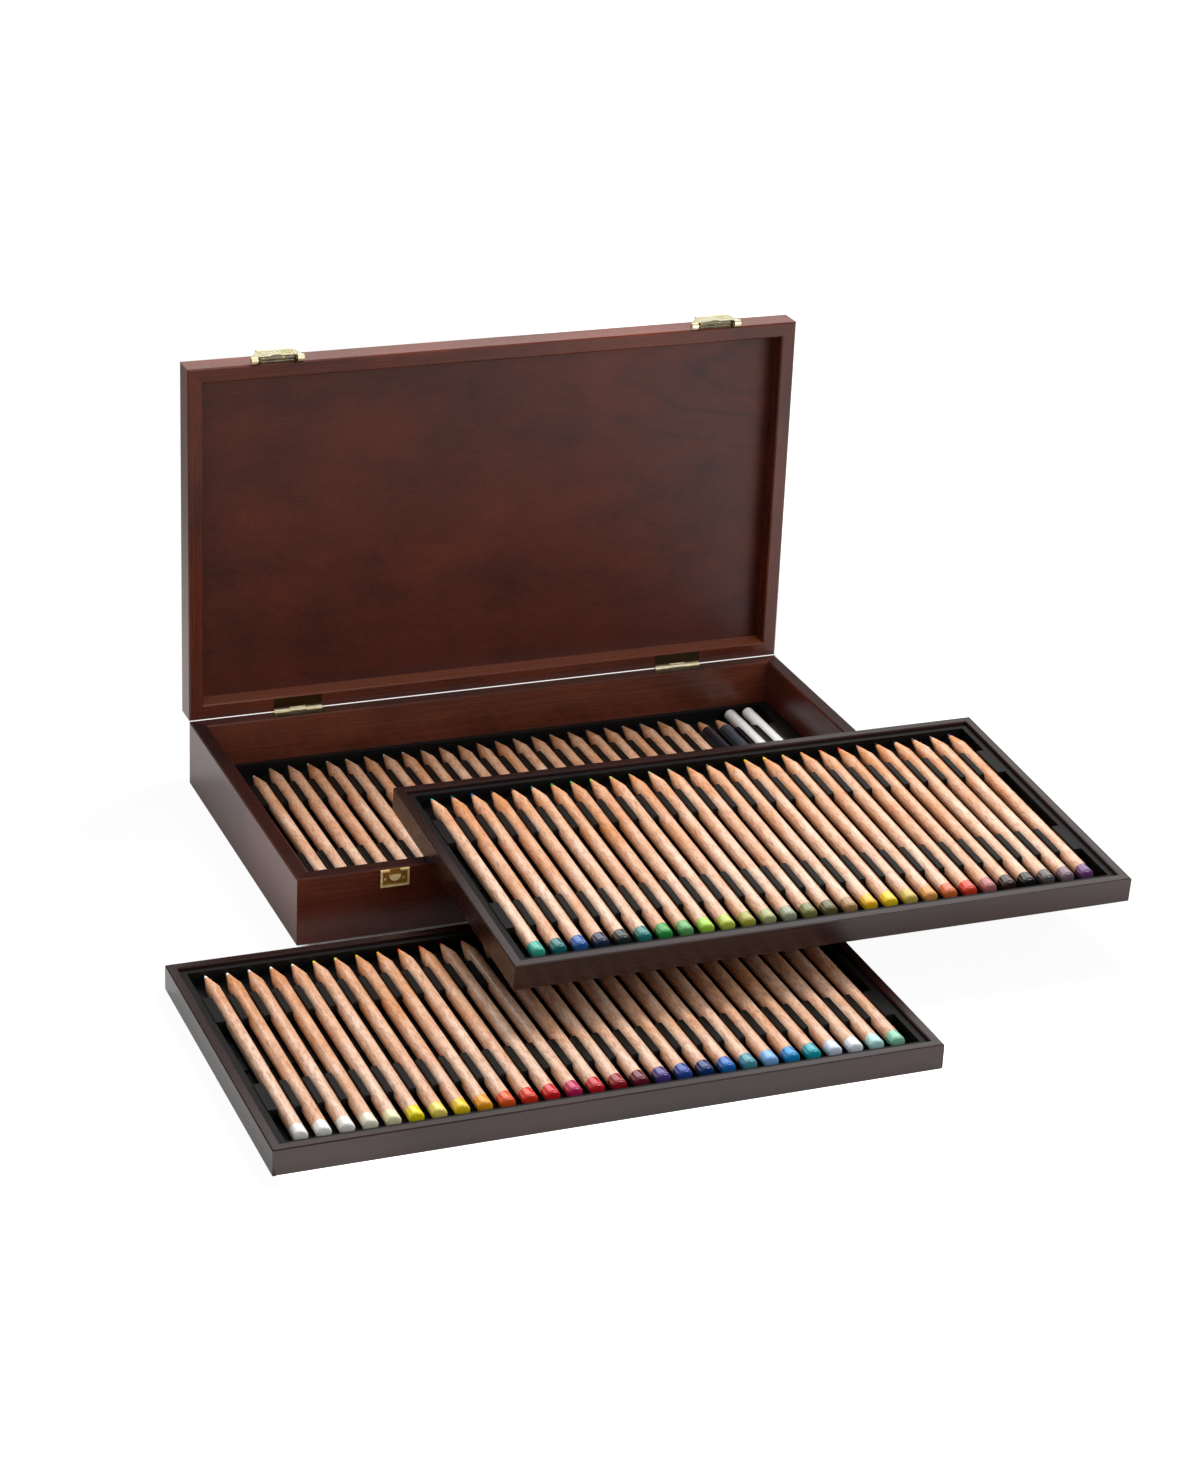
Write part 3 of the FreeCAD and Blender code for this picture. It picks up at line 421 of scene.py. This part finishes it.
def nails(name, body, heads):
    """Low domes: a profile of radius against rise, turned about the way each head rises. heads has
    (x, y, z, radius, way), lengths in millimetres and way a unit vector."""
    angle = np.linspace(0, 2 * np.pi, NAIL_SIDES, endpoint=False)
    index = np.arange(len(NAIL_RISES) * NAIL_SIDES).reshape(-1, NAIL_SIDES)
    dome = np.stack([
        NAIL_RADII[:, None] * np.cos(angle), NAIL_RADII[:, None] * np.sin(angle),
        np.broadcast_to(NAIL_RISES[:, None], index.shape),
    ], -1)
    low, high = index[:-1], index[1:]
    sides = np.stack([low, np.roll(low, -1, 1), np.roll(high, -1, 1), high], -1).reshape(-1, 4)
    points, faces = [], []
    for number, (x, y, z, radius, way) in enumerate(heads):
        turn = np.array(Vector(way).to_track_quat("Z", "Y").to_matrix())
        placed = dome.reshape(-1, 3) * [radius, radius, 1.0] @ turn.T + [x, y, z]
        points.append(placed / 1000)
        first = number * index.size
        faces += (sides + first).tolist()
        faces += [(index[-1] + first).tolist(), (index[0, ::-1] + first).tolist()]
    mesh = bpy.data.meshes.new(name)
    mesh.from_pydata(np.concatenate(points).tolist(), [], faces)
    mesh.polygons.foreach_set("use_smooth", np.ones(len(faces), bool))
    mesh.materials.append(nail_brass)
    mesh.update()
    made = bpy.data.objects.new(name, mesh)
    bpy.context.scene.collection.objects.link(made)
    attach(made, body)


# Domed brass nails hold the hinge leaves, the catch plates and the clasp plates, each in pairs or
# threes either side of the case's middle
RISING, FORWARD = (0, 0, 1), (0, -1, 0)
HINGE_OUT, CATCH_OUT, CLASP_OUT = 124.7, 136.5, 138.5
HINGE_STEPS, CATCH_STEPS, CLASP_STEPS = (-10, 0, 10), (-5.4, 5.4), (-6, 6)
nails("box_nails", "base", [
    (side * HINGE_OUT + step, 104.6, 40.6, 1.1, RISING) for side in (-1, 1) for step in HINGE_STEPS
] + [
    (side * CATCH_OUT + step, -110.6, 34.3, 0.8, FORWARD)
    for side in (-1, 1) for step in CATCH_STEPS
])
nails("lid_nails", "lid", [
    (side * HINGE_OUT + step, 110.8, 46.8, 1.1, FORWARD)
    for side in (-1, 1) for step in HINGE_STEPS
] + [
    (side * CLASP_OUT + step, 120.6, 262.05, 0.9, RISING)
    for side in (-1, 1) for step in CLASP_STEPS
])


# Moulded inserts
# Black polystyrene sheet, vacuum-formed over a mould with two rows of teeth and a low ridge. The
# sheet keeps a fine matt grain and shines softly on its flat tops.
sheet_black, tree, shader = new_finish("Vacuum-formed black polystyrene")
place = add(tree, "TexCoord").outputs["Object"]
# A grain of about 0.4 mm, coarser than the sheet's own so that it shows, and a haze of 26 mm
grain = add(tree, "TexNoise", {"Vector": place, "Scale": 2400.0, "Detail": 2.0})
haze = add(tree, "TexNoise", {"Vector": place, "Scale": 38.0, "Detail": 2.0})
colour = add(tree, "Mix", {0: haze.outputs["Fac"], 6: linear("#070809"), 7: linear("#120f0d")},
             data_type="RGBA")
tree.links.new(colour.outputs[2], shader.inputs["Base Color"])
rough = add(tree, "MapRange", {"Value": grain.outputs["Fac"], "To Min": 0.42, "To Max": 0.58})
tree.links.new(rough.outputs[0], shader.inputs["Roughness"])
shader.inputs["IOR"].default_value = 1.32
bump = add(tree, "Bump", {"Height": grain.outputs["Fac"], "Strength": 0.25, "Distance": 0.0001})
tree.links.new(bump.outputs[0], shader.inputs["Normal"])
for name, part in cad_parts.items():
    if name.endswith("insert"):
        coat(part, sheet_black)


# Pencils
# Round incense-cedar casings under clear varnish, sharpened to a long cone, with a thick wax
# lead. The far end is dipped in enamel of the lead's colour and ends in a shallow dome. Each lies
# in its own seat of an insert's well, with its point to the back.
CASING, DIP, TIP = 4.03, 4.1, 0.5  # radii in mm
PENCIL_LENGTH, CONE_LENGTH, LEAD_LENGTH = 175.0, 17.0, 3.6
PITCH, SEAT_COUNT, AXIS_UP, WELL_DEPTH = 12.1, 28, 6.5, 181.0
SIDES = 28
MAP_RADIUS, MAP_STEP = 4.0, 0.05  # mm, and metres from one pencil's map to the next


def at_mm(x, y, z):
    """A move by millimetres, as a matrix in metres."""
    return Matrix.Translation((x / 1000, y / 1000, z / 1000))


def pencil_mesh(name, place, seats, lengths, tip_gap, pigments, materials, sharpened=True):
    """Profiles of radius against distance from the dipped end, turned about each pencil's axis.
    place is the well's frame; seats, lengths (mm) and pigments have one value per pencil."""
    seats, lengths = np.asarray(seats, float), np.asarray(lengths, float)
    # near has (distance from the dipped end, radius), far (distance from the point, radius)
    near = [(0, 0.6), (0.06, 2.3), (0.3, 3.3), (0.7, 3.85), (1.3, 4.06), (2.0, DIP),
            (7.8, DIP), (8.0, DIP - 0.02), (8.1, CASING), (8.4, CASING)]
    if sharpened:
        lead = TIP + (DIP - TIP) / CONE_LENGTH * LEAD_LENGTH
        far = [(CONE_LENGTH + 0.2, CASING), (CONE_LENGTH - 0.4, CASING), (CONE_LENGTH - 0.7, 3.93),
               (LEAD_LENGTH + 0.1, lead + 0.06), (LEAD_LENGTH, lead), (0.5, 0.62), (0.15, 0.44),
               (0.0, 0.2)]
    else:
        far = [(1.2, CASING), (0.7, 3.9), (0.3, 3.6), (0.0, 3.1)]
    rings = len(near) + len(far)
    along = np.empty((len(seats), rings))
    along[:, :len(near)] = [s for s, _ in near]
    along[:, len(near):] = lengths[:, None] - np.array([s for s, _ in far])
    radius = np.array([r for _, r in near + far])
    angle = np.linspace(0, 2 * np.pi, SIDES, endpoint=False) - np.pi / 2
    across = (seats - (SEAT_COUNT - 1) / 2) * PITCH
    foot = WELL_DEPTH / 2 - tip_gap - PENCIL_LENGTH
    grid = np.empty((len(seats), rings, SIDES, 3))
    grid[..., 0] = across[:, None, None] + radius[None, :, None] * np.cos(angle)
    grid[..., 1] = (foot + along)[:, :, None]
    grid[..., 2] = AXIS_UP + radius[None, :, None] * np.sin(angle)
    placing = np.array(place)
    points = grid.reshape(-1, 3) / 1000 @ placing[:3, :3].T + placing[:3, 3]

    index = np.arange(len(points)).reshape(len(seats), rings, SIDES)
    a, b = index[:, :-1, :], index[:, 1:, :]
    quads = np.stack([a, np.roll(a, -1, 2), np.roll(b, -1, 2), b], -1)[..., ::-1].reshape(-1, 4)
    caps = np.concatenate([index[:, 0, :], index[:, -1, ::-1]])
    faces = quads.tolist() + caps.tolist()
    mesh = bpy.data.meshes.new(name)
    mesh.from_pydata(points.tolist(), [], faces)

    # The bands between the rings are the dipped end, the casing, the cone and the lead in turn
    kinds = np.zeros(rings - 1, int)
    kinds[len(near) - 2:] = 1
    if sharpened:
        kinds[len(near) + 1:] = 2
        kinds[len(near) + 4:] = 3
    per_quad = np.broadcast_to(kinds[None, :, None], (len(seats), rings - 1, SIDES)).ravel()
    last = 3 if sharpened else 1
    per_face = np.concatenate([per_quad, np.zeros(len(seats), int), np.full(len(seats), last)])
    mesh.polygons.foreach_set("material_index", per_face.astype(np.int32))
    mesh.polygons.foreach_set("use_smooth", np.ones(len(faces), bool))

    tint = np.repeat(np.array([linear(code) for code in pigments]), rings * SIDES, axis=0)
    colour = mesh.attributes.new("pigment", "FLOAT_COLOR", "POINT")
    colour.data.foreach_set("color", tint.astype(np.float32).ravel())
    # Stock is a chance value of each pencil's own, the slat that it was cut from
    stock = mesh.attributes.new("stock", "FLOAT", "POINT")
    chance = np.random.default_rng(len(name) * 7 + len(seats)).random(len(seats))
    stock.data.foreach_set("value", np.repeat(chance, rings * SIDES).astype(np.float32))
    # The map gives metres round the casing and metres along it
    corner_vertex = np.empty(len(mesh.loops), np.int32)
    mesh.loops.foreach_get("vertex_index", corner_vertex)
    ring_of = (corner_vertex // SIDES) % rings
    side_of = corner_vertex % SIDES
    pencil_of = corner_vertex // (SIDES * rings)
    around = side_of / SIDES * 2 * np.pi * MAP_RADIUS
    flat = np.stack([around / 1000 + pencil_of * MAP_STEP, along[pencil_of, ring_of] / 1000], -1)
    mapping = mesh.uv_layers.new(name="casing")
    mapping.data.foreach_set("uv", flat.astype(np.float32).ravel())
    for material in materials:
        mesh.materials.append(material)
    mesh.update()
    made = bpy.data.objects.new(name, mesh)
    bpy.context.scene.collection.objects.link(made)
    return made


def cedar(name, pale, warm, deep, roughness, varnish):
    """Straight fine grain along the casing, a stretched noise, over broader patches of heartwood.
    The slat's chance value moves both and shifts the tone. Varnish is the weight of a clear coat,
    which gives the casings a soft shine."""
    material, tree, shader = new_finish(name)
    flat = add(tree, "UVMap", uv_map="casing").outputs[0]
    stock = add(tree, "Attribute", attribute_name="stock").outputs["Fac"]
    jump = add(tree, "Math", {0: stock, 1: 7.0}, operation="MULTIPLY")

    def lines(around, along, detail, shift):
        """Noise with so many features to the metre round the casing and along it."""
        moved = add(tree, "CombineXYZ", {"X": jump.outputs[0], "Y": jump.outputs[0], "Z": shift})
        offset = add(tree, "VectorMath", {0: flat, 1: moved.outputs[0]}, operation="ADD")
        scaled = add(tree, "Mapping", {
            "Vector": offset.outputs[0], "Scale": (around, along, 1.0),
        })
        return add(tree, "TexNoise", {
            "Vector": scaled.outputs[0], "Scale": 1.0, "Detail": detail, "Roughness": 0.55,
        }).outputs["Fac"]

    # Growth flecks lie about 1 mm apart and run 5 mm; patches of heartwood are 7 mm by 30 mm. The
    # casing is paler near the dipped end and warmer 120 mm farther on
    growth = lines(1000, 190, 4, 0.3)
    patch = lines(140, 34, 3, 5.1)
    end = add(tree, "SeparateXYZ", {0: flat}).outputs["Y"]
    warmer = add(tree, "MapRange", {
        "Value": end, "From Min": 0.03, "From Max": 0.15, "To Min": -0.2, "To Max": 0.2,
    })
    own = add(tree, "MapRange", {"Value": stock, "To Min": -0.16, "To Max": 0.16})
    own = add(tree, "Math", {0: own.outputs[0], 1: warmer.outputs[0]}, operation="ADD")
    tone = add(tree, "MapRange", {
        "Value": patch, "From Min": 0.3, "From Max": 0.7, "To Min": 0.1, "To Max": 0.85,
    })
    tone = add(tree, "Math", {0: tone.outputs[0], 1: own.outputs[0]}, operation="ADD",
               use_clamp=True)
    colour = add(tree, "Mix", {0: tone.outputs[0], 6: linear(pale), 7: linear(warm)},
                 data_type="RGBA")
    line = add(tree, "MapRange", {
        "Value": growth, "From Min": 0.44, "From Max": 0.7, "To Min": 0.0, "To Max": 0.6,
    })
    colour = add(tree, "Mix", {0: line.outputs[0], 6: colour.outputs[2], 7: linear(deep)},
                 data_type="RGBA")
    tree.links.new(colour.outputs[2], shader.inputs["Base Color"])
    shader.inputs["Roughness"].default_value = roughness
    shader.inputs["IOR"].default_value = 1.5
    shader.inputs["Coat Weight"].default_value = varnish
    shader.inputs["Coat Roughness"].default_value = 0.22
    bump = add(tree, "Bump", {"Height": growth, "Strength": 0.1, "Distance": 0.0002})
    tree.links.new(bump.outputs[0], shader.inputs["Normal"])
    return material


def pigmented(name, roughness, clear):
    """The colour that each pencil brings with it, times a noise near 1. Clear is the weight of a
    glossy coat: the dipped enamel shines, and the wax lead is dull."""
    material, tree, shader = new_finish(name)
    own = add(tree, "Attribute", attribute_name="pigment").outputs["Color"]
    place = add(tree, "TexCoord").outputs["Object"]
    uneven = add(tree, "TexNoise", {"Vector": place, "Scale": 420.0, "Detail": 2.0})
    depth = add(tree, "MapRange", {"Value": uneven.outputs["Fac"], "To Min": 0.9, "To Max": 1.06})
    colour = add(tree, "VectorMath", {0: own, "Scale": depth.outputs[0]}, operation="SCALE")
    tree.links.new(colour.outputs[0], shader.inputs["Base Color"])
    shader.inputs["Roughness"].default_value = roughness
    shader.inputs["Coat Weight"].default_value = clear
    shader.inputs["Coat Roughness"].default_value = 0.08
    return material


varnished = cedar("Incense cedar, clear varnish", "#eecab0", "#d4925f", "#925538", 0.3, 0.6)
sharpened_wood = cedar("Incense cedar, freshly cut", "#e8bf9c", "#d08c5a", "#a0623a", 0.6, 0.0)
enamel = pigmented("Dipped gloss enamel", 0.12, 1.0)
wax_lead = pigmented("Pigment and wax lead", 0.55, 0.0)
FINISHES = (enamel, varnished, sharpened_wood, wax_lead)

# Each well's middle, at the height of its floor. The upper tray is tilted, rising to the back
UPPER_TILT = math.radians(3.62)
base_well = at_mm(4.0, 6.5, 4.8)
lower_well = at_mm(-91.9, -237.5, 4.0)
upper_well = (
    at_mm(65.0, -149.0, 38.833) @ Matrix.Rotation(UPPER_TILT, 4, "X") @ at_mm(0, 0, 4.0)
)

LOWER_COLOURS = (
    "#fbfaf6", "#fbfaf6", "#f8f6f0", "#f4efd8", "#f3edbd", "#f3e20a", "#f1e06a", "#f2cf1c",
    "#f0a41e", "#ea5a22", "#e2381f", "#d81f26", "#c4235c", "#cc2027", "#9c1c26", "#6e1a2c",
    "#4c3c86", "#2a4aa0", "#14356f", "#1c6cc0", "#4b9aa8", "#7db4ec", "#1690d0", "#12a6b4",
    "#d4def4", "#e9eef6", "#b4e4e2", "#86c8aa",
)
UPPER_COLOURS = (
    "#3fae98", "#1c6f74", "#2a62ac", "#22304e", "#27322e", "#24807c", "#2c9c42", "#5fa860",
    "#a8d848", "#bccb50", "#a8a440", "#a9ad72", "#9aa184", "#7d8246", "#645f38", "#ad8458",
    "#eeb81e", "#f2cd1c", "#cdb458", "#d9974a", "#cf6a34", "#de3c24", "#b3696a", "#322320",
    "#191719", "#55504e", "#7d6470", "#6a3f74",
)
BASE_COLOURS = (
    "#efe4d2", "#4f9a52", "#d9a0b4", "#e8d9b0", "#e9c7c4", "#cfe0d2", "#e7b9a4", "#dfe6ee",
    "#e8ded0", "#7f8a92", "#c9a26c", "#b77a48", "#8a5a3c", "#a06a6a", "#d7c0c8", "#93a7a0",
    "#c4b08a", "#b98f6e", "#8d7a66", "#a59a90", "#bcb4ac", "#99a2a8", "#c7b7a2", "#b6a08c",
)

WHOLE_ROW, TRAY_GAP, BOX_GAP = [PENCIL_LENGTH] * SEAT_COUNT, 1.0, 2.5
row = pencil_mesh("lower_tray_row", lower_well, range(SEAT_COUNT), WHOLE_ROW, TRAY_GAP,
                  LOWER_COLOURS, FINISHES)
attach(row, "lower_pencil_row")
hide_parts("lower_tray_pencils")
row = pencil_mesh("upper_tray_row", upper_well, range(SEAT_COUNT), WHOLE_ROW, TRAY_GAP,
                  UPPER_COLOURS, FINISHES)
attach(row, "upper_pencil_row")
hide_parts("upper_tray_pencils")
# The box's first pencil is worn shorter
row = pencil_mesh("box_row", base_well, range(24), [167.5] + WHOLE_ROW[:23], BOX_GAP,
                  BASE_COLOURS, FINISHES)
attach(row, "base_pencil_row")
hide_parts("base_worn_pencil", "base_pencils")

# The box's last four: a black and a blue-grey pencil in gloss lacquer with bare cones, and two
# blunt white sticks.
LACQUERED = (enamel, enamel, sharpened_wood, enamel)
for name, seats, length, pointed, colour, node, slot in (
    ("black_pencil", [24], 168.5, True, "#1a1f28", "base_black_pencil", "pencil_black"),
    ("grey_pencil", [25], 168.5, True, "#3c4450", "base_grey_pencil", "pencil_grey"),
    ("white_sticks", [26, 27], 173.0, False, "#fbfaf8", "base_blender_sticks", "pencil_white"),
):
    piece = pencil_mesh(name, base_well, seats, [length] * len(seats), BOX_GAP,
                        [colour] * len(seats), LACQUERED, sharpened=pointed)
    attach(piece, "base_pencil_row")
    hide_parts(node)
